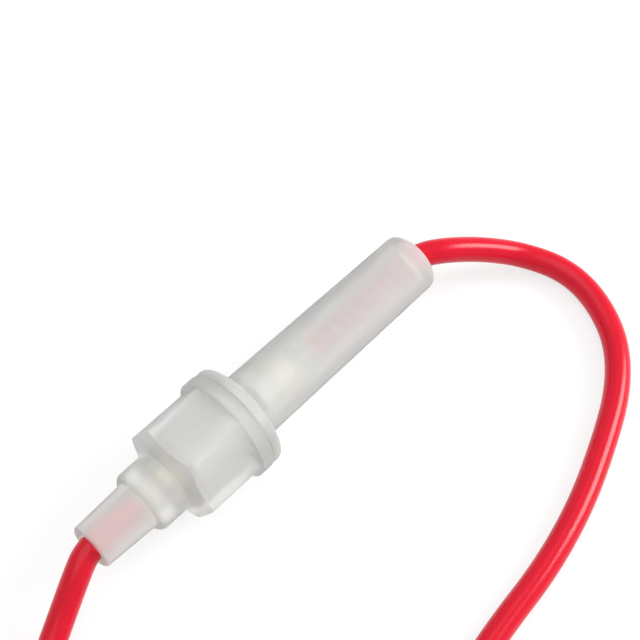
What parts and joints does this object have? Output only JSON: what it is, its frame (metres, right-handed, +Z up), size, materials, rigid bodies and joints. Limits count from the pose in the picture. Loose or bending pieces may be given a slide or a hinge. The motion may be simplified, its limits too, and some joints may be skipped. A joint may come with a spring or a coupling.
{
  "type": "inline fuse holder",
  "caption": "Inline holder for a small glass fuse: tapered moulded barrel with a sprung contact, screw-on hexagonal cap and an insulated lead out of each end.",
  "frame": {"origin": "on the floor below the middle of the holder: half way between the tip of the cap's nose and the closed end of the barrel, under their common axis", "axes": "+X along the holder's axis from the cap's nose to the barrel's closed end, +Z up from the floor that the cap's rim and the leads lie on"},
  "size_m": [0.0947, 0.0577, 0.0138],
  "materials": {
    "moulding": "milky translucent moulded polymer, satin",
    "red_insulation": "glossy red PVC wire insulation",
    "contact_brass": "turned and crimped brass",
    "plated_cap": "nickel plated, bright",
    "fuse_glass": "clear drawn glass tube",
    "element_wire": "bare fuse wire",
    "solder": "dull solder",
    "spring_steel": "drawn spring wire, ground ends",
    "tinned_copper": "tinned stranded copper"
  },
  "bodies": {
    "barrel": {"barrel": "moulding", "compression_spring": "spring_steel", "barrel_lead": "red_insulation", "barrel_lead_bare_end": "tinned_copper"},
    "fuse_and_contacts": {"nose_contact": "contact_brass", "spring_contact": "contact_brass", "fuse_end_cap_nose": "plated_cap", "fuse_end_cap_spring": "plated_cap", "fuse_glass": "fuse_glass", "fuse_element": "element_wire", "solder_bead_nose": "solder", "solder_bead_spring": "solder", "nose_lead": "red_insulation", "nose_lead_inner_core": "tinned_copper", "nose_lead_bare_end": "tinned_copper", "barrel_lead_inner_core": "tinned_copper"},
    "screw_cap": {"screw_cap": "moulding"}
  },
  "joints": [
    {"name": "stack_slide", "type": "slide", "parent": "barrel", "child": "fuse_and_contacts", "axis": [-1, 0, 0], "range_m": [0, 0.0045], "deforming": ["compression_spring"]},
    {"name": "cap_turn", "type": "hinge", "parent": "fuse_and_contacts", "child": "screw_cap", "pos_m": [-0.016, 0, 0.0069], "axis": [-1, 0, 0], "range_deg": [0, 1080]}
  ],
  "couplings": [
    {"joint": "cap_turn", "follows": "stack_slide", "rad_per_m": 4188.8}
  ]
}
